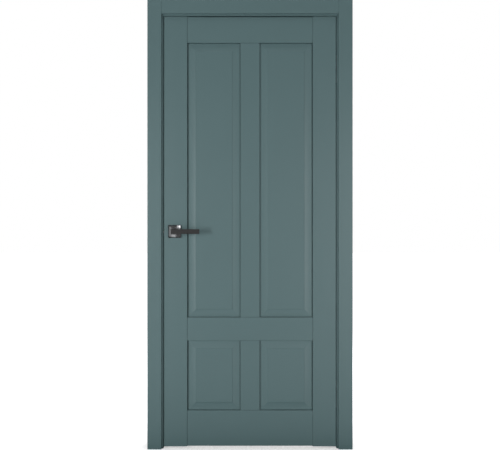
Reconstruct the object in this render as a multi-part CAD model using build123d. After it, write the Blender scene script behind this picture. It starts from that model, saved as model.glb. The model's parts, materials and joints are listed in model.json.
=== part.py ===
from build123d import *
import os
from math import atan2, degrees, hypot, sqrt

os.makedirs("parts", exist_ok=True)

# All lengths are in millimetres. X runs along the wall, Y into it and Z up.
# Y = 0 is the middle of the leaf's thickness and Z = 0 is the finished floor.

# Leaf
LEAF_W = 800.0
LEAF_H = 2000.0
LEAF_T = 40.0
FLOOR_GAP = 10.0
STILE_W = 108.0
RAIL_T = 39.0
MULLION_T = 36.0
RAIL_INSET = 2.0
TOP_RAIL_H = 120.0
LOCK_RAIL_H = 108.0
BOTTOM_RAIL_H = 165.0
LOWER_OPENING_H = 325.0
MULLION_W = 90.0
STILE_EASE = 1.2
RAIL_EASE = 0.6

# Joints of the leaf: grooves, stub tenons that fill them, and long tenons in the stiles
GROOVE_D = 12.0
GROOVE_T = 8.2
TONGUE_T = 8.0
STUB_L = 11.5
TENON_T = 12.0
TENON_L = 60.0
TENON_SHOULDER = 18.0
MORTISE_PLAY = 0.1
MORTISE_END = 2.0

# Panels
TONGUE_IN_GROOVE = 10.0
QUIRK_AT_STILE = 3.5
QUIRK_ELSEWHERE = 1.5
BEVEL_W = 35.0
BEVEL_EDGE_T = 22.0
BEVEL_TOP_T = 30.0
FIELD_T = 33.0
FIELD_STEP_W = 1.8

# Frame
GAP = 3.0
JAMB_T = 32.0
JAMB_D = 75.0
JAMB_EASE = 0.8
STOP_H = 12.0
STOP_GAP = 3.0
HOUSING_D = 6.0
REVEAL = 8.0
SEAL_W = 8.0
SEAL_KERF_W = 4.0
SEAL_KERF_D = 5.0
SEAL_NIP = 0.3
SEAL_PLAY = 0.1
FIXING_R = 4.0
FIXING_Y = 2.0
FIXING_Z = (505.0, 1085.0, 1665.0)

# Casings
CASING_W = 65.0
CASING_T = 12.0
CASING_ROUND = 2.0
CASING_TONGUE_AT = 14.0
CASING_TONGUE_T = 4.0
CASING_TONGUE_L = 11.5
CASING_GROOVE_D = 12.0
CASING_GROOVE_T = 4.2

# Concealed hinges, laid out about the line midway between leaf and jamb. The centre pin
# is as far from each pivot as the pivot is from the front edge of that line, so the leaf
# turns about that edge, and every angle keeps a constant ratio to the leaf's.
HINGE_Z = (250.0, 1770.0)
HINGE_W = 30.0
HINGE_H = 130.0
HINGE_LUG_D = 12.0
HINGE_DEEP = 19.0
HINGE_DEEP_H = 74.0
CAVITY_W = 28.0
CAVITY_H = 64.0
CAVITY_D = 17.5
PIVOT = (5.5, -8.0)
CENTRE = (0.0, 4.0)
SLIDER = (-13.0, 10.0)
OUTER_BEND = (4.25, -2.0)
INNER_BEND = (-4.5, 10.0)
HUB_R = 3.6
WEB_R = 3.0
ARM_LOW = -31.6
ARM_HIGH = -0.3
PIN_R = 2.2
SLIDER_R = 2.0
PIN_END = 35.5
RUNNING = 0.05
SLOT_PLAY = 0.2
SLOT_D = 3.8
SLOT_OVERRUN = 1.0
SWING = 105.0

# Handle
HANDLE_Z = FLOOR_GAP + 1000.0
BACKSET = 50.0
SPINDLE = 8.0
SPINDLE_HALF_L = 55.0
SPINDLE_BORE_R = 9.0
LEVER_REACH = 118.0
LEVER_TAIL = 12.0
LEVER_H = 22.0
LEVER_T = 9.0
LEVER_OFF = 53.0
LEVER_EASE = 0.8
NECK_R = 10.0
NECK_GAP = 3.0
ROSETTE = 59.0
ROSETTE_T = 8.5
ROSETTE_BEVEL = 2.5
ROSETTE_WALL = 2.0
ROSETTE_HOLE_PLAY = 0.3
ROSETTE_BASE = 54.0
ROSETTE_BASE_T = 6.0
ROSETTE_BASE_PLAY = 0.2

# Latch, its faceplate in the leaf's edge and the strike in the jamb
FOLLOWER_R = 7.0
LOBE_R = 12.5
LOBE_W = 5.0
LOBE_T = 8.0
LOBE_PLAY = 0.3
CASE_L = 66.0
CASE_T = 16.0
CASE_H = 31.6
CASE_WALL = 1.2
FACEPLATE_W = 22.0
FACEPLATE_H = 58.0
FACEPLATE_T = 3.0
BOLT_OUT = 10.0
BOLT_IN = 14.0
BOLT_T = 11.0
BOLT_H = 18.0
BOLT_NOSE = 3.0
BOLT_PLAY = 0.1
STRIP_T = 1.5
LUG_L = 4.0
LUG_BOTTOM = 8.0
STRIKE_H = 76.0
STRIKE_Y = (-16.0, 14.0)
STRIKE_ROUND = 4.0
STRIKE_T = 2.0
STRIKE_HOLE_Y = (-6.0, 7.0)
STRIKE_HOLE_H = 21.0
BOX_Y = (-9.5, 10.5)
BOX_H = 28.0
BOX_D = 14.0
BOX_WALL = 1.2

# Derived positions
LEAF_X = LEAF_W / 2
FACE_Y = LEAF_T / 2
LEAF_Z0 = FLOOR_GAP
LEAF_Z1 = FLOOR_GAP + LEAF_H
STILE_IN = LEAF_X - STILE_W
BOTTOM_RAIL_Z0 = LEAF_Z0 + RAIL_INSET
LOWER_Z0 = BOTTOM_RAIL_Z0 + BOTTOM_RAIL_H
LOWER_Z1 = LOWER_Z0 + LOWER_OPENING_H
UPPER_Z0 = LOWER_Z1 + LOCK_RAIL_H
TOP_RAIL_Z1 = LEAF_Z1 - RAIL_INSET
UPPER_Z1 = TOP_RAIL_Z1 - TOP_RAIL_H
RAILS = ((BOTTOM_RAIL_Z0, LOWER_Z0), (LOWER_Z1, UPPER_Z0), (UPPER_Z1, TOP_RAIL_Z1))
JAMB_X = LEAF_X + GAP
JAMB_OUT = JAMB_X + JAMB_T
JAMB_Y0 = -FACE_Y
JAMB_Y1 = JAMB_Y0 + JAMB_D
HEAD_Z = LEAF_Z1 + GAP
HEAD_OUT = HEAD_Z + JAMB_T
STOP_X = JAMB_X - STOP_H
STOP_Y = FACE_Y + STOP_GAP
STOP_Z = HEAD_Z - STOP_H
HINGE_X = LEAF_X + GAP / 2
HANDLE_X = -LEAF_X + BACKSET


# Simple solids

def block(x0, x1, y0, y1, z0, z1):
    middle = Pos((x0 + x1) / 2, (y0 + y1) / 2, (z0 + z1) / 2)
    return middle * Box(x1 - x0, y1 - y0, z1 - z0)


def handle_block(half_x, y0, y1, half_z):
    """A block centred on the handle's axis."""
    return block(
        HANDLE_X - half_x, HANDLE_X + half_x, y0, y1, HANDLE_Z - half_z, HANDLE_Z + half_z
    )


def rod_x(x0, x1, y, z, radius):
    return Pos((x0 + x1) / 2, y, z) * Rot(0, 90, 0) * Cylinder(radius, x1 - x0)


def rod_y(y0, y1, x, z, radius):
    return Pos(x, (y0 + y1) / 2, z) * Rot(90, 0, 0) * Cylinder(radius, y1 - y0)


def rod_z(z0, z1, x, y, radius):
    return Pos(x, y, (z0 + z1) / 2) * Cylinder(radius, z1 - z0)


def stadium_x(x0, x1, width, height, z):
    """A plate across X with full-round top and bottom ends."""
    outline = Plane.YZ * SlotOverall(height, width, rotation=90)
    return Pos(x0, 0, z) * extrude(outline, x1 - x0)


def along_x(section, x0, x1):
    """A section drawn with Z across and Y up, run from x0 to x1."""
    start = Plane((x1, 0, 0), x_dir=(0, 0, 1), z_dir=(-1, 0, 0))
    return extrude(start * section, x1 - x0)


def mirrored(solid):
    """The same solid on the other side of the door's middle."""
    return mirror(solid, about=Plane.YZ)


def rear(solid):
    """The same solid on the other face of the leaf."""
    return mirror(solid, about=Plane.XZ)


def save(name, *solids):
    shape = solids[0] if len(solids) == 1 else Compound(children=list(solids))
    export_step(shape, f"parts/{name}.step")


# Stiles, rails and mullions

def plain_stile():
    """The right-hand stile, grooved for the panels and mortised for the rails."""
    stile = block(STILE_IN, LEAF_X, -FACE_Y, FACE_Y, LEAF_Z0, LEAF_Z1)
    stile = chamfer(stile.edges().filter_by(Axis.Z), STILE_EASE)
    groove = GROOVE_T / 2
    stile -= block(STILE_IN, STILE_IN + GROOVE_D, -groove, groove, LEAF_Z0, LEAF_Z1)
    deep = STILE_IN + TENON_L + MORTISE_END
    half = TENON_T / 2 + MORTISE_PLAY
    inset = TENON_SHOULDER - MORTISE_PLAY
    for z0, z1 in RAILS:
        stile -= block(STILE_IN, deep, -half, half, z0 + inset, z1 - inset)
    return stile


def lock_stile():
    edge = -LEAF_X
    stile = mirrored(plain_stile())
    stile -= stadium_x(edge, edge + FACEPLATE_T, FACEPLATE_W, FACEPLATE_H, HANDLE_Z)
    stile -= latch_case_envelope()
    return stile - rod_y(-FACE_Y, FACE_Y, HANDLE_X, HANDLE_Z, SPINDLE_BORE_R)


def hinge_stile():
    stile = plain_stile()
    for z in HINGE_Z:
        stile -= Pos(HINGE_X, 0, z) * Rot(0, 180, 0) * hinge_envelope()
    return stile


def rail(z0, z1, groove_below, groove_above):
    """A rail between the stiles, grooved for panels, with stub and long tenons."""
    half = RAIL_T / 2
    body = block(-STILE_IN, STILE_IN, -half, half, z0, z1)
    body = chamfer(body.edges().filter_by(Axis.X), RAIL_EASE)
    stub = TONGUE_T / 2
    reach = STILE_IN + STUB_L
    stub_z0 = z0 + (GROOVE_D if groove_below else 0)
    stub_z1 = z1 - (GROOVE_D if groove_above else 0)
    body += block(-reach, reach, -stub, stub, stub_z0, stub_z1)
    thick = TENON_T / 2
    reach = STILE_IN + TENON_L
    body += block(-reach, reach, -thick, thick, z0 + TENON_SHOULDER, z1 - TENON_SHOULDER)
    groove = GROOVE_T / 2
    if groove_below:
        body -= block(-STILE_IN, STILE_IN, -groove, groove, z0, z0 + GROOVE_D)
    if groove_above:
        body -= block(-STILE_IN, STILE_IN, -groove, groove, z1 - GROOVE_D, z1)
    return body


def mullion(z0, z1):
    """The upright between two panels, with stub tenons in the rails' grooves."""
    half = MULLION_T / 2
    side = MULLION_W / 2
    body = block(-side, side, -half, half, z0, z1)
    body = chamfer(body.edges().filter_by(Axis.Z), RAIL_EASE)
    web = side - GROOVE_D
    stub = TONGUE_T / 2
    body += block(-web, web, -stub, stub, z0 - STUB_L, z1 + STUB_L)
    groove = GROOVE_T / 2
    body -= block(-side, -web, -groove, groove, z0, z1)
    return body - block(web, side, -groove, groove, z0, z1)


def leaf_frame():
    save("lock_stile", lock_stile())
    save("hinge_stile", hinge_stile())
    save("bottom_rail", rail(BOTTOM_RAIL_Z0, LOWER_Z0, False, True))
    save("lock_rail", rail(LOWER_Z1, UPPER_Z0, True, True))
    save("top_rail", rail(UPPER_Z1, TOP_RAIL_Z1, True, False))
    save("upper_mullion", mullion(UPPER_Z0, UPPER_Z1))
    save("lower_mullion", mullion(LOWER_Z0, LOWER_Z1))


# Raised and fielded panels

def bevel_middle():
    """Half the panel's thickness halfway up its hollow bevel, which starts flat at the lip."""
    rise = (BEVEL_TOP_T - BEVEL_EDGE_T) / 2
    radius = (BEVEL_W**2 + rise**2) / (2 * rise)
    return BEVEL_EDGE_T / 2 + radius - sqrt(radius**2 - (BEVEL_W / 2) ** 2)


def panel_face(low, high, quirk_low, quirk_high, sign):
    """The lines of one face of a panel's section, from tongue to tongue."""
    tongue = sign * TONGUE_T / 2
    lip = sign * BEVEL_EDGE_T / 2
    middle = sign * bevel_middle()
    top = sign * BEVEL_TOP_T / 2
    field = sign * FIELD_T / 2
    start = low + quirk_low
    end = high - quirk_high
    return [
        Polyline((low - TONGUE_IN_GROOVE, tongue), (start, tongue), (start, lip)),
        ThreePointArc((start, lip), (start + BEVEL_W / 2, middle), (start + BEVEL_W, top)),
        Polyline(
            (start + BEVEL_W, top),
            (start + BEVEL_W + FIELD_STEP_W, field),
            (end - BEVEL_W - FIELD_STEP_W, field),
            (end - BEVEL_W, top),
        ),
        ThreePointArc((end - BEVEL_W, top), (end - BEVEL_W / 2, middle), (end, lip)),
        Polyline((end, lip), (end, tongue), (high + TONGUE_IN_GROOVE, tongue)),
    ]


def panel_section(low, high, quirk_low, quirk_high):
    """A panel's section between two edges of its opening, alike on both faces."""
    tongue = TONGUE_T / 2
    lines = []
    for sign in (-1, 1):
        lines += panel_face(low, high, quirk_low, quirk_high, sign)
    for u in (low - TONGUE_IN_GROOVE, high + TONGUE_IN_GROOVE):
        lines.append(Line((u, -tongue), (u, tongue)))
    return make_face(Curve() + lines)


def panel(x0, x1, z0, z1):
    """A left-hand panel: its two sections, crossed, meet in the mitres of its bevels."""
    tall = z1 - z0 + 2 * TONGUE_IN_GROOVE
    across = panel_section(x0, x1, QUIRK_AT_STILE, QUIRK_ELSEWHERE)
    along = panel_section(z0, z1, QUIRK_ELSEWHERE, QUIRK_ELSEWHERE)
    upright = Pos(0, 0, z0 - TONGUE_IN_GROOVE) * extrude(across, tall)
    return upright & along_x(along, x0 - TONGUE_IN_GROOVE, x1 + TONGUE_IN_GROOVE)


def panels():
    for word, z0, z1 in (("upper", UPPER_Z0, UPPER_Z1), ("lower", LOWER_Z0, LOWER_Z1)):
        left = panel(-STILE_IN, -MULLION_W / 2, z0, z1)
        save(f"{word}_left_panel", left)
        save(f"{word}_right_panel", mirrored(left))


# Frame: rebated jambs with a stop, a seal kerf and grooves for the casings' tongues

def side_jamb():
    """The right-hand jamb."""
    jamb = block(JAMB_X, JAMB_OUT, JAMB_Y0, JAMB_Y1, 0, HEAD_OUT)
    jamb += block(STOP_X, JAMB_X, STOP_Y, JAMB_Y1, 0, HEAD_Z)
    corners = jamb.edges().filter_by(Axis.Z).filter_by(
        lambda e: e.center().X < JAMB_X + 1 and abs(e.center().Y - STOP_Y) > 1
    )
    corners += jamb.edges().filter_by(Axis.Z).sort_by(Axis.X)[:2]
    jamb = chamfer(set(corners), JAMB_EASE)
    jamb -= block(JAMB_X, JAMB_X + HOUSING_D, JAMB_Y0, JAMB_Y1, HEAD_Z, HEAD_OUT)
    kerf = STOP_X + (STOP_H - SEAL_KERF_W) / 2
    jamb -= block(kerf, kerf + SEAL_KERF_W, STOP_Y, STOP_Y + SEAL_KERF_D, 0, HEAD_Z)
    play = (CASING_GROOVE_T - CASING_TONGUE_T) / 2
    for start, y0, y1 in casing_grooves(JAMB_X, STOP_X):
        jamb -= block(start - play, start + CASING_TONGUE_T + play, y0, y1, 0, HEAD_OUT)
    for z in FIXING_Z:
        jamb -= rod_x(JAMB_X, JAMB_OUT, FIXING_Y, z, FIXING_R)
    return jamb


def casing_grooves(front, back):
    """Where the front and rear casings' tongues start, with the Y range of each groove."""
    offset = REVEAL + CASING_TONGUE_AT
    return (
        (front + offset, JAMB_Y0, JAMB_Y0 + CASING_GROOVE_D),
        (back + offset, JAMB_Y1 - CASING_GROOVE_D, JAMB_Y1),
    )


def hinge_jamb():
    jamb = side_jamb()
    for z in HINGE_Z:
        jamb -= Pos(HINGE_X, 0, z) * hinge_envelope()
    return jamb


def head_jamb():
    """The head, housed at both ends in the side jambs."""
    reach = JAMB_X + HOUSING_D
    head = block(-reach, reach, JAMB_Y0, JAMB_Y1, HEAD_Z, HEAD_OUT)
    head += block(-STOP_X, STOP_X, STOP_Y, JAMB_Y1, STOP_Z, HEAD_Z)
    kerf = STOP_Z + (STOP_H - SEAL_KERF_W) / 2
    head -= block(-STOP_X, STOP_X, STOP_Y, STOP_Y + SEAL_KERF_D, kerf, kerf + SEAL_KERF_W)
    play = (CASING_GROOVE_T - CASING_TONGUE_T) / 2
    for start, y0, y1 in casing_grooves(HEAD_Z, STOP_Z):
        head -= block(-reach, reach, y0, y1, start - play, start + CASING_TONGUE_T + play)
    return head


def seal_section(centre):
    """A round-nosed bulb on a flat root, drawn across the stop."""
    half = SEAL_W / 2
    root = SEAL_KERF_W / 2 - SEAL_PLAY
    deep = STOP_Y + SEAL_KERF_D - SEAL_PLAY
    nose = FACE_Y + SEAL_NIP
    bulb = ThreePointArc((centre - half, STOP_Y), (centre, nose), (centre + half, STOP_Y))
    back = Polyline(
        (centre + half, STOP_Y),
        (centre + root, STOP_Y),
        (centre + root, deep),
        (centre - root, deep),
        (centre - root, STOP_Y),
        (centre - half, STOP_Y),
    )
    return make_face(Curve() + [bulb, back])


def seals():
    """The side seals run up to the head seal, which spans between the stops."""
    side = extrude(seal_section(JAMB_X - STOP_H / 2), STOP_Z)
    save("hinge_side_seal", side)
    save("lock_side_seal", mirrored(side))
    save("head_seal", along_x(seal_section(HEAD_Z - STOP_H / 2), -STOP_X, STOP_X))


def frame():
    save("strike_jamb", mirrored(side_jamb()) - strike_recess())
    save("hinge_jamb", hinge_jamb())
    save("head_jamb", head_jamb())
    seals()


# Casings, each with a tongue that slides into its jamb's groove

def casing_section(inner, y_back, outward):
    """A board's section: rounded outer arrises and the tongue behind it."""
    face = y_back + outward * CASING_T
    low, high = sorted((y_back, face))
    board = Pos(inner + CASING_W / 2, (low + high) / 2) * Rectangle(CASING_W, CASING_T)
    arrises = board.vertices().filter_by(lambda v: abs(v.Y - face) < CASING_T / 2)
    board = fillet(arrises, CASING_ROUND)
    start = inner + CASING_TONGUE_AT
    middle = y_back - outward * CASING_TONGUE_L / 2
    tongue = Pos(start + CASING_TONGUE_T / 2, middle) * Rectangle(CASING_TONGUE_T, CASING_TONGUE_L)
    return board, tongue


def side_casing(inner, y_back, outward, top):
    board, tongue = casing_section(inner, y_back, outward)
    return extrude(board, top) + extrude(tongue, HEAD_OUT)


def head_casing(inner, half_w, y_back, outward):
    board, tongue = casing_section(inner, y_back, outward)
    reach = min(half_w, JAMB_X)
    return along_x(board, -half_w, half_w) + along_x(tongue, -reach, reach)


def casings():
    sides = (("front", JAMB_X, HEAD_Z, JAMB_Y0, -1), ("rear", STOP_X, STOP_Z, JAMB_Y1, 1))
    for word, x, z, y_back, outward in sides:
        inner_x = x + REVEAL
        inner_z = z + REVEAL
        right = side_casing(inner_x, y_back, outward, inner_z + CASING_W)
        save(f"{word}_casing_right", right)
        save(f"{word}_casing_left", mirrored(right))
        save(f"{word}_casing_head", head_casing(inner_z, inner_x, y_back, outward))


# Concealed hinges, drawn about their own middle with the jamb on the +X side

def hinge_envelope():
    """What is cut out of the jamb for one half: shallow lugs and a deeper middle."""
    face = GAP / 2
    half = HINGE_W / 2
    up = HINGE_DEEP_H / 2
    lugs = stadium_x(face, face + HINGE_LUG_D, HINGE_W, HINGE_H, 0)
    return lugs + block(face, face + HINGE_DEEP, -half, half, -up, up)


def slider_slot():
    """The sliding pin's track: the centre pin's own circle, shifted by the arm's inner length."""
    slider = (-SLIDER[0], SLIDER[1])
    middle = (PIVOT[0] + slider[0] - CENTRE[0], PIVOT[1] + slider[1] - CENTRE[1])
    reach = hypot(PIVOT[0] - CENTRE[0], PIVOT[1] - CENTRE[1])
    start = degrees(atan2(slider[1] - middle[1], slider[0] - middle[0]))
    track = CenterArc(middle, reach, start - SLOT_OVERRUN, SWING + 2 * SLOT_OVERRUN)
    half = SLIDER_R + SLOT_PLAY
    return trace(track, 2 * half) + [Pos(*(track @ end)) * Circle(half) for end in (0, 1)]


def hinge_half():
    """The jamb's half: an open box with a slot in its roof and the pivot riveted in its floor."""
    face = GAP / 2
    wide = CAVITY_W / 2
    up = CAVITY_H / 2
    body = hinge_envelope()
    body -= block(face, face + CAVITY_D, -wide, wide, -up, up)
    body -= Pos(0, 0, up) * extrude(slider_slot(), SLOT_D)
    return body + rod_z(-up, ARM_HIGH, *PIVOT, PIN_R)


def arm_outline():
    """A cranked arm through its pivot, the centre pin and its slider."""
    centres = (PIVOT, OUTER_BEND, CENTRE, INNER_BEND, SLIDER)
    radii = (HUB_R, WEB_R, HUB_R, WEB_R, WEB_R)
    spots = list(zip(centres, radii))
    outline = Sketch()
    for (a, radius_a), (b, radius_b) in zip(spots, spots[1:]):
        ends = [*(Pos(*a) * Circle(radius_a)).edges(), *(Pos(*b) * Circle(radius_b)).edges()]
        outline += make_hull(ends)
    return outline


def plain_arm():
    """The arm that turns in the jamb's half. Its slider stands below it, in the leaf's half."""
    body = Pos(0, 0, ARM_LOW) * extrude(arm_outline(), ARM_HIGH - ARM_LOW)
    body -= rod_z(ARM_LOW, ARM_HIGH, *PIVOT, PIN_R + RUNNING)
    return body + rod_z(-PIN_END, ARM_LOW, *SLIDER, SLIDER_R)


def hinges():
    """The jamb's arm carries the centre pin. The leaf's half and arm are the jamb's, turned over."""
    turned = Rot(0, 180, 0)
    centre_pin = rod_z(ARM_HIGH, -ARM_LOW, *CENTRE, PIN_R)
    centre_hole = rod_z(ARM_LOW, ARM_HIGH, *CENTRE, PIN_R + RUNNING)
    pieces = {
        "hinge_jamb_halves": hinge_half(),
        "hinge_jamb_arms": plain_arm() + centre_pin,
        "hinge_leaf_arms": turned * (plain_arm() - centre_hole),
        "hinge_leaf_halves": turned * hinge_half(),
    }
    for name, piece in pieces.items():
        save(name, *[Pos(HINGE_X, 0, z) * piece for z in HINGE_Z])


# Latch

def latch_case_envelope():
    x0 = -LEAF_X + FACEPLATE_T
    wide = CASE_T / 2
    up = CASE_H / 2
    return block(x0, x0 + CASE_L, -wide, wide, HANDLE_Z - up, HANDLE_Z + up)


def bolt_hole(x0, x1):
    wide = BOLT_T / 2 + BOLT_PLAY
    up = BOLT_H / 2 + BOLT_PLAY
    return block(x0, x1, -wide, wide, HANDLE_Z - up, HANDLE_Z + up)


def latch_case():
    """A closed box with a mouth for the bolt and bearings for the follower."""
    x0 = -LEAF_X + FACEPLATE_T
    x1 = x0 + CASE_L
    wide = CASE_T / 2 - CASE_WALL
    up = CASE_H / 2 - CASE_WALL
    case = latch_case_envelope()
    case -= block(x0 + CASE_WALL, x1 - CASE_WALL, -wide, wide, HANDLE_Z - up, HANDLE_Z + up)
    case -= bolt_hole(x0, x0 + CASE_WALL)
    return case - rod_y(-CASE_T / 2, CASE_T / 2, HANDLE_X, HANDLE_Z, FOLLOWER_R + RUNNING)


def latch_faceplate():
    edge = -LEAF_X
    plate = stadium_x(edge, edge + FACEPLATE_T, FACEPLATE_W, FACEPLATE_H, HANDLE_Z)
    return plate - bolt_hole(edge, edge + FACEPLATE_T)


def latch_bolt():
    """The bolt, sloped on its closing side, and the strip and lug that draw it back."""
    tip = -LEAF_X - BOLT_OUT
    heel = -LEAF_X + BOLT_IN
    wide = BOLT_T / 2
    up = BOLT_H / 2
    plan = Polyline(
        (tip, -wide),
        (heel, -wide),
        (heel, wide),
        (-LEAF_X, wide),
        (tip, BOLT_NOSE - wide),
        close=True,
    )
    bolt = Pos(0, 0, HANDLE_Z - up) * extrude(make_face(plan), BOLT_H)
    lug = HANDLE_X + LOBE_W / 2 + LOBE_PLAY
    strip = HANDLE_Z + LOBE_R + LOBE_PLAY
    half = LOBE_T / 2
    bolt += block(heel - LUG_L, heel, -half, half, HANDLE_Z + up, strip + STRIP_T)
    bolt += block(heel, lug + LUG_L, -half, half, strip, strip + STRIP_T)
    return bolt + block(lug, lug + LUG_L, -half, half, HANDLE_Z + LUG_BOTTOM, strip)


def follower():
    """The hub on the spindle. One of its two lobes pushes the bolt's lug."""
    half = LOBE_T / 2
    hub = rod_y(-CASE_T / 2, CASE_T / 2, HANDLE_X, HANDLE_Z, FOLLOWER_R)
    hub += handle_block(LOBE_W / 2, -half, half, LOBE_R)
    socket = SPINDLE / 2 + RUNNING
    return hub - handle_block(socket, -CASE_T / 2, CASE_T / 2, socket)


# Strike

def strike_outline():
    y0, y1 = STRIKE_Y
    up = STRIKE_H / 2
    plate = block(-JAMB_X - STRIKE_T, -JAMB_X, y0, y1, HANDLE_Z - up, HANDLE_Z + up)
    return fillet(plate.edges().filter_by(Axis.X), STRIKE_ROUND)


def strike_recess():
    """What is cut out of the jamb for the plate and the box behind it."""
    face = -JAMB_X - STRIKE_T
    up = BOX_H / 2
    return strike_outline() + block(face - BOX_D, face, *BOX_Y, HANDLE_Z - up, HANDLE_Z + up)


def strike_plate():
    up = STRIKE_HOLE_H / 2
    hole = block(-JAMB_X - STRIKE_T, -JAMB_X, *STRIKE_HOLE_Y, HANDLE_Z - up, HANDLE_Z + up)
    return strike_outline() - hole


def strike_box():
    """The open plastic box behind the strike plate."""
    face = -JAMB_X - STRIKE_T
    y0, y1 = BOX_Y
    up = BOX_H / 2
    inner = up - BOX_WALL
    box = block(face - BOX_D, face, y0, y1, HANDLE_Z - up, HANDLE_Z + up)
    return box - block(
        face - BOX_D + BOX_WALL, face, y0 + BOX_WALL, y1 - BOX_WALL,
        HANDLE_Z - inner, HANDLE_Z + inner,
    )


def latch():
    save("latch_case", latch_case())
    save("latch_faceplate", latch_faceplate())
    save("latch_bolt", latch_bolt())
    save("latch_follower", follower())
    save("strike_plate", strike_plate())
    save("strike_box", strike_box())


# Handle. The front half is drawn, and the rear one is its mirror image.

def lever():
    """A flat bar on a round neck, with a square socket for the spindle."""
    y_face = -FACE_Y - LEVER_OFF
    y_back = y_face + LEVER_T
    half = LEVER_H / 2
    bar = block(
        HANDLE_X - LEVER_TAIL, HANDLE_X + LEVER_REACH, y_face, y_back,
        HANDLE_Z - half, HANDLE_Z + half,
    )
    bar = chamfer(bar.edges().group_by(Axis.Y)[0], LEVER_EASE)
    neck_end = -FACE_Y - NECK_GAP
    bar += rod_y(y_back, neck_end, HANDLE_X, HANDLE_Z, NECK_R)
    socket = SPINDLE / 2 + RUNNING
    return bar - handle_block(socket, -SPINDLE_HALF_L - 1, neck_end, socket)


def rosette():
    """A bevelled square cover, hollow behind, with a hole for the neck."""
    half = ROSETTE / 2
    y0 = -FACE_Y - ROSETTE_T
    cover = handle_block(half, y0, -FACE_Y, half)
    cover = chamfer(cover.edges().group_by(Axis.Y)[0], ROSETTE_BEVEL)
    inner = ROSETTE_BASE / 2 + ROSETTE_BASE_PLAY
    cover -= handle_block(inner, y0 + ROSETTE_WALL, -FACE_Y, inner)
    hole = NECK_R + ROSETTE_HOLE_PLAY
    return cover - rod_y(y0, y0 + ROSETTE_WALL, HANDLE_X, HANDLE_Z, hole)


def rosette_base():
    """The plate under the cover, which the neck turns in."""
    half = ROSETTE_BASE / 2
    y0 = -FACE_Y - ROSETTE_BASE_T
    base = handle_block(half, y0, -FACE_Y, half)
    return base - rod_y(y0, -FACE_Y, HANDLE_X, HANDLE_Z, NECK_R + RUNNING)


def handle():
    half = SPINDLE / 2
    save("spindle", handle_block(half, -SPINDLE_HALF_L, SPINDLE_HALF_L, half))
    for name, piece in (("lever", lever()), ("rosette", rosette()), ("rosette_base", rosette_base())):
        save(f"front_{name}", piece)
        save(f"rear_{name}", rear(piece))


leaf_frame()
panels()
frame()
casings()
hinges()
latch()
handle()
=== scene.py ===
import json
import math

import bmesh
import bpy
from mathutils import Matrix, Vector


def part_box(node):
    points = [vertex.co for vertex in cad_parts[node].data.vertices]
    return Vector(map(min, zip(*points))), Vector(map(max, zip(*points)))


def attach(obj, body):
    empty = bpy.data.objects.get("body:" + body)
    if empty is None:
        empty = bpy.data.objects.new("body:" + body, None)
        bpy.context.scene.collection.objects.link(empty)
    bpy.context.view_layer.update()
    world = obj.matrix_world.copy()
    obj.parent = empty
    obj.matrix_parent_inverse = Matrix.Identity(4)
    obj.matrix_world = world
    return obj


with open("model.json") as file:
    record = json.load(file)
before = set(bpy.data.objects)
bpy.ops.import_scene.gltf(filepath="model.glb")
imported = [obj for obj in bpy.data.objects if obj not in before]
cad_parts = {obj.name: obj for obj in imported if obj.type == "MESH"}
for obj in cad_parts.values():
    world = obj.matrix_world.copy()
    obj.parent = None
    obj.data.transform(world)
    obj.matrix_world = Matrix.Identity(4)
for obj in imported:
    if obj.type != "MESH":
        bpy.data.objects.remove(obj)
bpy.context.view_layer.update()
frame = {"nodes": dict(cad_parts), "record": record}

NODES = frame["nodes"]
MM = 0.001

# Camera: level, on the middle line of the door
IMAGE_W = 500
EYE_HEIGHT = 1.04
EYE_DISTANCE = 2.89
FOCAL_PIXELS = 621.0
SENSOR = 36.0

# Screw heads, in millimetres: radius and how proud they stand, and how deep they are seated
HINGE_HEAD = (4.0, 0.9)
PLATE_HEAD = (3.4, 0.7)
GRUB_HEAD = (2.5, 0.6)
SEAT_DEPTH = 0.2

# Rings of a head, from the rim to the recess's bottom: share of the radius, depth of the six
# lobes as a share of the ring, and share of the height
HEAD_SIDES = 36
LOBES = 6
LOBE = 0.16
HEAD_RINGS = (
    (1, 0, 0.15),
    (0.93, 0, 0.45),
    (0.8, 0, 0.8),
    (0.62, 0, 1),
    (0.5, LOBE, 1),
    (0.45, LOBE, 0.1),
)

# Hinge's height, and the screws up and down from the middle of a hinge or plate, in millimetres
HINGE_H = 130
HINGE_SCREW_Z = (-55, -42, 42, 55)
FACEPLATE_SCREW_Z = 19.5
STRIKE_SCREW_Z = 26

# Radius of the levers' necks, and the grub screws out from the leaf's middle, in millimetres
NECK_R = 10
GRUB_Y = 36

# Joints of the leaf, each with a painted shadow line: member, axis along it, and what it meets
# at its low and high end
JOINTS = (
    ("top_rail", 0, "lock_stile", "hinge_stile"),
    ("lock_rail", 0, "lock_stile", "hinge_stile"),
    ("bottom_rail", 0, "lock_stile", "hinge_stile"),
    ("upper_mullion", 2, "lock_rail", "top_rail"),
    ("lower_mullion", 2, "bottom_rail", "lock_rail"),
)

# The painted shadow line at a joint, standing in for the shade in its groove: width in
# millimetres, and its colour as a share of the paint's
JOINT_SHADOW_WIDTH = 1.6
JOINT_SHADOW_SHARE = 0.3

# Colours, linear
PAINT = (0.079, 0.136, 0.142)
SEAL_GREY = (0.12, 0.15, 0.15)
LEVER_BLACK = (0.012, 0.012, 0.012)
ROSETTE_BLACK = (0.108, 0.11, 0.113)
STEEL = (0.56, 0.55, 0.53)
ZINC = (0.5, 0.5, 0.49)
PLASTIC_BLACK = (0.02, 0.02, 0.02)
FLOOR_WHITE = (0.9, 0.9, 0.9)
WHITE = (1, 1, 1)

# The floor's width in metres, its own glow from under the door out to full white, where the
# dimmer glow near the door is a painted shadow, and the distances from the door's middle
# between which the glow grows
FLOOR_SIZE = 40
FLOOR_GLOW = (0.37, 1.0)
FLOOR_GLOW_TO = (0.44, 0.68)

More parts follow.
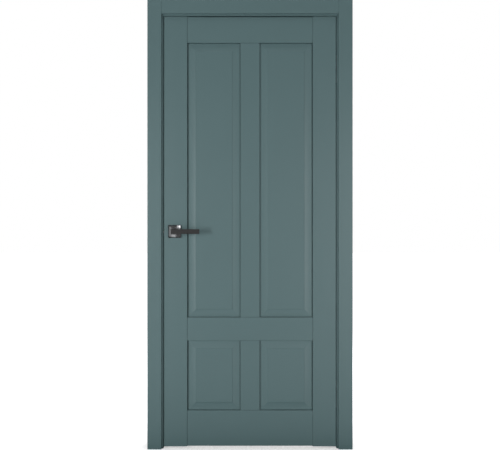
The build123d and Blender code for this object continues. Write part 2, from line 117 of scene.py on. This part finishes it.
# The share of light that the floor sends up to the door, and the distances from the door's
# plane between which it grows from nothing: a dark band that is painted shade for the door's
# foot
FLOOR_BOUNCE = 0.75
FLOOR_PAINTED_SHADE_TO = (0.05, 0.3)

# The white backdrop's strength, in the shade and in the gloss
AMBIENT = 0.02
SHEEN = 0.5

# Lights: name, place, target, size in metres, power in watts and whether gloss shows them
LIGHTS = (
    ("left", (-2.15, -2.05, 0.92), (0, 0, 0.95), (0.45, 1.0), 48, True),
    ("right", (1.4, -1.9, 0.95), (0.2, 0, 0.95), (0.9, 1.9), 21.5, True),
    ("left_high", (-1.25, -2.1, 1.65), (-0.2, 0, 1.6), (0.8, 0.7), 2, True),
    ("front", (0, -2.0, 0.9), (0, 0, 0.9), (1.4, 1.8), 8, False),
    ("rear", (1.9, 2.1, 1.4), (0, 0, 1.0), (1.2, 1.8), 52, True),
    ("rear_side", (-2.0, 1.6, 1.2), (0, 0, 1.0), (0.8, 1.8), 22, True),
    ("overhead", (0, -0.35, 2.9), (0, 0, 1.6), (1.8, 0.3), 5.5, True),
)

# Small lamps beside the camera that the polished rosette mirrors: place and size of the
# reflection on its face, in metres, and the lamp's brightness
GLINTS = (
    ("high_glint", (-0.3265, 1.034), (0.013, 0.0095), 15),
    ("low_glint", (-0.355, 0.990), (0.02, 0.010), 2.7),
    ("side_glint", (-0.370, 1.010), (0.008, 0.044), 1.5),
)

# Power of a lamp of one square metre that has a brightness of 1
WATTS_PER_BRIGHTNESS = 4


def new_material(name, colour, roughness, metallic=0):
    material = bpy.data.materials.new(name)
    material.use_nodes = True
    shader = material.node_tree.nodes["Principled BSDF"]
    shader.inputs["Base Color"].default_value = (*colour, 1)
    shader.inputs["Roughness"].default_value = roughness
    shader.inputs["Metallic"].default_value = metallic
    return material, material.node_tree, shader


def noise(tree, scale, detail, stretch=(1, 1, 1)):
    """Noise in the object's own space, in metres."""
    place = tree.nodes.new("ShaderNodeTexCoord")
    mapping = tree.nodes.new("ShaderNodeMapping")
    mapping.inputs["Scale"].default_value = stretch
    texture = tree.nodes.new("ShaderNodeTexNoise")
    texture.inputs["Scale"].default_value = scale
    texture.inputs["Detail"].default_value = detail
    tree.links.new(place.outputs["Object"], mapping.inputs["Vector"])
    tree.links.new(mapping.outputs["Vector"], texture.inputs["Vector"])
    return texture.outputs["Fac"]


def remap(tree, value, low, high, source=(0, 1)):
    """Stretches a value from the source's range to that from low to high."""
    node = tree.nodes.new("ShaderNodeMapRange")
    node.inputs["From Min"].default_value = source[0]
    node.inputs["From Max"].default_value = source[1]
    node.inputs["To Min"].default_value = low
    node.inputs["To Max"].default_value = high
    tree.links.new(value, node.inputs["Value"])
    return node.outputs["Result"]


def add_up(tree, one, other):
    node = tree.nodes.new("ShaderNodeMath")
    tree.links.new(one, node.inputs[0])
    tree.links.new(other, node.inputs[1])
    return node.outputs["Value"]


def off_middle(tree, axis, middle=0):
    """Distance from the middle along one of the object's own axes."""
    place = tree.nodes.new("ShaderNodeTexCoord")
    axes = tree.nodes.new("ShaderNodeSeparateXYZ")
    shift = tree.nodes.new("ShaderNodeMath")
    shift.operation = "SUBTRACT"
    shift.inputs[1].default_value = middle
    size = tree.nodes.new("ShaderNodeMath")
    size.operation = "ABSOLUTE"
    tree.links.new(place.outputs["Object"], axes.inputs["Vector"])
    tree.links.new(axes.outputs["XYZ"[axis]], shift.inputs[0])
    tree.links.new(shift.outputs["Value"], size.inputs[0])
    return size.outputs["Value"]


def colour_mix(tree, factor):
    mix = tree.nodes.new("ShaderNodeMix")
    mix.data_type = "RGBA"
    tree.links.new(factor, mix.inputs["Factor"])
    return mix


def scaled(colour, share):
    """The colour made lighter or darker, with its alpha."""
    return (*[c * share for c in colour], 1)


def uneven_colour(tree, shader, value, colour, spread):
    """Lets the colour wander a little darker and lighter with value."""
    mix = colour_mix(tree, value)
    mix.inputs["A"].default_value = scaled(colour, 1 - spread)
    mix.inputs["B"].default_value = scaled(colour, 1 + spread)
    tree.links.new(mix.outputs["Result"], shader.inputs["Base Color"])


def uneven_gloss(tree, shader, value, low, high, source=(0, 1)):
    """Lets the roughness wander between low and high with value."""
    rough = remap(tree, value, low, high, source)
    tree.links.new(rough, shader.inputs["Roughness"])


def bump(tree, shader, height, strength, depth):
    """Relief up to a depth in millimetres."""
    node = tree.nodes.new("ShaderNodeBump")
    node.inputs["Strength"].default_value = strength
    node.inputs["Distance"].default_value = depth * MM
    tree.links.new(height, node.inputs["Height"])
    tree.links.new(node.outputs["Normal"], shader.inputs["Normal"])


def enamel(name):
    """Sprayed enamel: a faint orange peel, and a colour and gloss that wander a little."""
    material, tree, shader = new_material(name, PAINT, roughness=0.42)
    uneven_colour(tree, shader, noise(tree, scale=3, detail=6), PAINT, spread=0.035)
    uneven_gloss(tree, shader, noise(tree, scale=45, detail=6), low=0.36, high=0.48)
    fine = remap(tree, noise(tree, scale=2200, detail=3), low=0, high=0.2)
    peel = add_up(tree, noise(tree, scale=260, detail=2), fine)
    bump(tree, shader, peel, strength=0.35, depth=0.3)
    return material, tree, shader


def joint_shadow_enamel(name, axis, low, high):
    """Enamel with a fine dark line at both ends: a painted shadow standing in for the shade in
    the groove where the members meet.
    """
    material, tree, shader = enamel(name)
    half = (high - low) / 2
    fade = (half - JOINT_SHADOW_WIDTH * MM, half - JOINT_SHADOW_WIDTH * MM / 2)
    line = remap(tree, off_middle(tree, axis, (low + high) / 2), 0, 1, fade)
    colour = shader.inputs["Base Color"]
    mix = colour_mix(tree, line)
    # The painted shadow's colour: the paint, darkened
    mix.inputs["B"].default_value = scaled(PAINT, JOINT_SHADOW_SHARE)
    tree.links.new(colour.links[0].from_socket, mix.inputs["A"])
    tree.links.new(mix.outputs["Result"], colour)
    return material


def rubber():
    """Soft extruded rubber: dull, with drawn lines along it and a dusty bloom."""
    material, tree, shader = new_material("seal_rubber", SEAL_GREY, roughness=0.7)
    uneven_colour(tree, shader, noise(tree, scale=90, detail=5), SEAL_GREY, spread=0.15)
    uneven_gloss(tree, shader, noise(tree, scale=35, detail=4), low=0.6, high=0.8)
    drawn = noise(tree, scale=1800, detail=2, stretch=(1, 1, 0.01))
    relief = add_up(tree, drawn, noise(tree, scale=1500, detail=3))
    bump(tree, shader, relief, strength=0.25, depth=0.1)
    shader.inputs["Sheen Weight"].default_value = 0.1
    return material


def plastic(name):
    """Moulded plastic with a spark-eroded grain."""
    material, tree, shader = new_material(name, PLASTIC_BLACK, roughness=0.5)
    uneven_colour(tree, shader, noise(tree, scale=40, detail=3), PLASTIC_BLACK, spread=0.1)
    uneven_gloss(tree, shader, noise(tree, scale=300, detail=4), low=0.42, high=0.6)
    bump(tree, shader, noise(tree, scale=2600, detail=3), strength=0.3, depth=0.1)
    return material


def cast_zinc():
    """Plated die casting: satin, with a soft ripple and fine pits."""
    material, tree, shader = new_material("hinge_zinc", ZINC, roughness=0.36, metallic=1)
    uneven_colour(tree, shader, noise(tree, scale=70, detail=4), ZINC, spread=0.08)
    uneven_gloss(tree, shader, noise(tree, scale=180, detail=4), low=0.3, high=0.44)
    relief = add_up(tree, noise(tree, scale=120, detail=2), noise(tree, scale=2400, detail=3))
    bump(tree, shader, relief, strength=0.15, depth=0.1)
    return material


def brushed_steel(name, roughness):
    """Steel brushed up and down, with scuffs that change its gloss."""
    material, tree, shader = new_material(name, STEEL, roughness, metallic=1)
    lines = noise(tree, scale=2500, detail=3, stretch=(1, 1, 0.015))
    uneven_colour(tree, shader, lines, STEEL, spread=0.05)
    scuffs = add_up(tree, lines, noise(tree, scale=60, detail=5))
    uneven_gloss(tree, shader, scuffs, 0.85 * roughness, 1.25 * roughness, source=(0.6, 1.4))
    bump(tree, shader, lines, strength=0.06, depth=0.05)
    return material


def powder_coat():
    """The lever's matt black coating, with its fine pebbled texture."""
    material, tree, shader = new_material("lever_metal", LEVER_BLACK, roughness=0.5)
    shader.inputs["Specular IOR Level"].default_value = 0.4
    uneven_colour(tree, shader, noise(tree, scale=50, detail=4), LEVER_BLACK, spread=0.12)
    uneven_gloss(tree, shader, noise(tree, scale=400, detail=3), low=0.45, high=0.58)
    bump(tree, shader, noise(tree, scale=1600, detail=4), strength=0.3, depth=0.1)
    return material


def black_nickel():
    """The rosette's mirror-polished black plating, with faint smears."""
    material, tree, shader = new_material("rosette_metal", ROSETTE_BLACK, 0.04, metallic=1)
    uneven_colour(tree, shader, noise(tree, scale=45, detail=3), ROSETTE_BLACK, spread=0.08)
    uneven_gloss(tree, shader, noise(tree, scale=80, detail=5), low=0.02, high=0.06)
    return material


def finish_node(name, material):
    mesh = NODES[name].data
    mesh.materials.clear()
    mesh.materials.append(material)


def finishes():
    """Gives every node the finish of its slot, and returns the finishes by slot."""
    slots = {row["node"]: row["material_slot"] for row in frame["record"]["subparts"]}
    paint = enamel("enamel")[0]
    by_slot = {
        "leaf_paint": paint,
        "panel_paint": paint,
        "frame_paint": paint,
        "casing_paint": paint,
        "seal_rubber": rubber(),
        "hinge_zinc": cast_zinc(),
        "hinge_steel": brushed_steel("hinge_steel", roughness=0.3),
        "latch_steel": brushed_steel("latch_steel", roughness=0.25),
        "strike_plastic": plastic("strike_plastic"),
        "base_plastic": plastic("base_plastic"),
        "lever_metal": powder_coat(),
        "rosette_metal": black_nickel(),
    }
    for name in NODES:
        finish_node(name, by_slot[slots[name]])
    # The leaf's members get a painted shadow line where they meet the next member
    for name, axis, before, after in JOINTS:
        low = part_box(before)[1][axis]
        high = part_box(after)[0][axis]
        finish_node(name, joint_shadow_enamel(name + "_enamel", axis, low, high))
    return by_slot


def screw_ring(mesh, radius, lobe, height, place):
    """One ring of a screw head's vertices, with lobes where lobe isn't 0."""
    ring = []
    for i in range(HEAD_SIDES):
        turn = 2 * math.pi * i / HEAD_SIDES
        reach = radius * (1 + lobe * math.cos(LOBES * turn))
        spot = Vector((reach * math.cos(turn), reach * math.sin(turn), height)) * MM
        ring.append(mesh.verts.new(place @ spot))
    return ring


def screw_head(mesh, head, spot, facing):
    """A raised head with a lobed recess, seated on the face behind it."""
    radius, proud = head
    turned = Vector(facing).to_track_quat("Z", "X").to_matrix().to_4x4()
    place = Matrix.Translation(spot) @ turned
    rings = [screw_ring(mesh, radius, 0, -SEAT_DEPTH, place)]
    for across, lobe, up in HEAD_RINGS:
        rings.append(screw_ring(mesh, across * radius, lobe, up * proud, place))
    for outer, inner in zip(rings, rings[1:]):
        for i in range(HEAD_SIDES):
            j = (i + 1) % HEAD_SIDES
            mesh.faces.new((outer[i], outer[j], inner[j], inner[i]))
    mesh.faces.new(rings[-1])


def screws(name, body, material, head, spots, facing):
    """The heads of one group of screws, which ride on one body."""
    mesh = bmesh.new()
    for spot in spots:
        screw_head(mesh, head, spot, facing)
    data = bpy.data.meshes.new(name)
    mesh.to_mesh(data)
    mesh.free()
    data.materials.append(material)
    heads = bpy.data.objects.new(name, data)
    bpy.context.scene.collection.objects.link(heads)
    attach(heads, body)


def hinge_screws(steel):
    """Four screws in each half of both hinges."""
    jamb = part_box("hinge_jamb_halves")
    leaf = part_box("hinge_leaf_halves")
    middles = (jamb[0].z + HINGE_H * MM / 2, jamb[1].z - HINGE_H * MM / 2)
    levels = [z + offset * MM for z in middles for offset in HINGE_SCREW_Z]
    for name, body, x, facing in (
        ("hinge_jamb_screws", "frame", jamb[0].x, (-1, 0, 0)),
        ("hinge_leaf_screws", "leaf", leaf[1].x, (1, 0, 0)),
    ):
        spots = [(x, 0, z) for z in levels]
        screws(name, body, steel, HINGE_HEAD, spots, facing)


def plate_screws(steel):
    """Two screws in the latch's faceplate and two in the strike plate."""
    for name, node, body, side, facing, offset in (
        ("faceplate_screws", "latch_faceplate", "leaf", 0, (-1, 0, 0), FACEPLATE_SCREW_Z),
        ("strike_screws", "strike_plate", "frame", 1, (1, 0, 0), STRIKE_SCREW_Z),
    ):
        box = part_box(node)
        middle = (box[0].z + box[1].z) / 2
        spots = [(box[side].x, 0, middle + sign * offset * MM) for sign in (-1, 1)]
        screws(name, body, steel, PLATE_HEAD, spots, facing)


def grub_screws(black):
    """The screws under the levers' necks that hold them on the spindle."""
    low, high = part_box("spindle")
    x = (low.x + high.x) / 2
    z = (low.z + high.z) / 2 - NECK_R * MM
    for name, y in (("front_grub_screw", -GRUB_Y * MM), ("rear_grub_screw", GRUB_Y * MM)):
        screws(name, "handle", black, GRUB_HEAD, [(x, y, z)], (0, 0, -1))


def fasteners(finish):
    hinge_screws(finish["hinge_steel"])
    plate_screws(finish["latch_steel"])
    grub_screws(finish["lever_metal"])


def area_light(name, place, target, size, power, glossy=True):
    light = bpy.data.lights.new(name, "AREA")
    light.shape = "RECTANGLE"
    light.size = size[0]
    light.size_y = size[1]
    light.energy = power
    lamp = bpy.data.objects.new(name, light)
    lamp.location = place
    lamp.rotation_euler = (Vector(target) - Vector(place)).to_track_quat("-Z", "Y").to_euler()
    lamp.visible_camera = False
    lamp.visible_glossy = glossy
    bpy.context.scene.collection.objects.link(lamp)


def glints(eye):
    """Lamps at the camera's distance, each where a flat mirror shows it at the given spot."""
    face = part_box("front_rosette")[0].y
    for name, (x, z), (width, height), brightness in GLINTS:
        place = (2 * x - eye.x, eye.y, 2 * z - eye.z)
        size = (2 * width, 2 * height)
        power = WATTS_PER_BRIGHTNESS * brightness * size[0] * size[1]
        area_light(name, place, (x, face, z), size, power)


def by_ray(tree, kind, otherwise, then):
    """One shader for rays of a kind, and another for the rest."""
    path = tree.nodes.new("ShaderNodeLightPath")
    mix = tree.nodes.new("ShaderNodeMixShader")
    tree.links.new(path.outputs[kind], mix.inputs[0])
    tree.links.new(otherwise, mix.inputs[1])
    tree.links.new(then, mix.inputs[2])
    return mix.outputs["Shader"]


def surroundings():
    """A white backdrop. The object's shade and gloss each get their own share of its light."""
    world = bpy.data.worlds.new("world")
    world.use_nodes = True
    tree = world.node_tree
    shares = []
    for strength in (AMBIENT, SHEEN, 1):
        share = tree.nodes.new("ShaderNodeBackground")
        share.inputs["Color"].default_value = (*WHITE, 1)
        share.inputs["Strength"].default_value = strength
        shares.append(share.outputs["Background"])
    felt = by_ray(tree, "Is Glossy Ray", shares[0], shares[1])
    shown = by_ray(tree, "Is Camera Ray", felt, shares[2])
    tree.links.new(shown, tree.nodes["World Output"].inputs["Surface"])
    bpy.context.scene.world = world


def floor():
    """A white floor that glows, with a soft shadow where the object stands: real shade on its
    lit white, and a painted shadow as a dimmer glow near the middle. For the light it throws
    back it is dark near the door's plane, painted shade for the door's foot.
    """
    bpy.ops.mesh.primitive_plane_add(size=FLOOR_SIZE, location=(0, 0, 0))
    plane = bpy.context.object
    plane.name = "floor"
    material, tree, shader = new_material("floor", FLOOR_WHITE, roughness=0.6)
    place = tree.nodes.new("ShaderNodeTexCoord")
    reach = tree.nodes.new("ShaderNodeVectorMath")
    reach.operation = "LENGTH"
    tree.links.new(place.outputs["Object"], reach.inputs[0])
    # A dimmer glow near the middle: a painted shadow under the door
    glow_with_painted_shadow = remap(tree, reach.outputs["Value"], *FLOOR_GLOW, FLOOR_GLOW_TO)
    shader.inputs["Emission Color"].default_value = (*WHITE, 1)
    tree.links.new(glow_with_painted_shadow, shader.inputs["Emission Strength"])
    dull = tree.nodes.new("ShaderNodeBsdfDiffuse")
    # No light thrown back near the door's plane: painted shade for the door's foot
    bounce_with_painted_shade = remap(tree, off_middle(tree, 1), 0, FLOOR_BOUNCE, FLOOR_PAINTED_SHADE_TO)
    tree.links.new(bounce_with_painted_shade, dull.inputs["Color"])
    shown = by_ray(tree, "Is Camera Ray", dull.outputs["BSDF"], shader.outputs["BSDF"])
    tree.links.new(shown, tree.nodes["Material Output"].inputs["Surface"])
    plane.data.materials.append(material)


def studio(eye):
    floor()
    surroundings()
    for light in LIGHTS:
        area_light(*light)
    glints(eye)


def camera():
    """Sets up the camera and the view, and returns where the camera stands."""
    data = bpy.data.cameras.new("camera")
    data.sensor_fit = "HORIZONTAL"
    data.sensor_width = SENSOR
    data.lens = SENSOR * FOCAL_PIXELS / IMAGE_W
    eye = bpy.data.objects.new("camera", data)
    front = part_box("lock_stile")[0].y
    eye.location = (0, front - EYE_DISTANCE, EYE_HEIGHT)
    eye.rotation_euler = (math.radians(90), 0, 0)
    bpy.context.scene.collection.objects.link(eye)
    bpy.context.scene.camera = eye
    bpy.context.scene.view_settings.view_transform = "Standard"
    return eye.location


fasteners(finishes())
studio(camera())
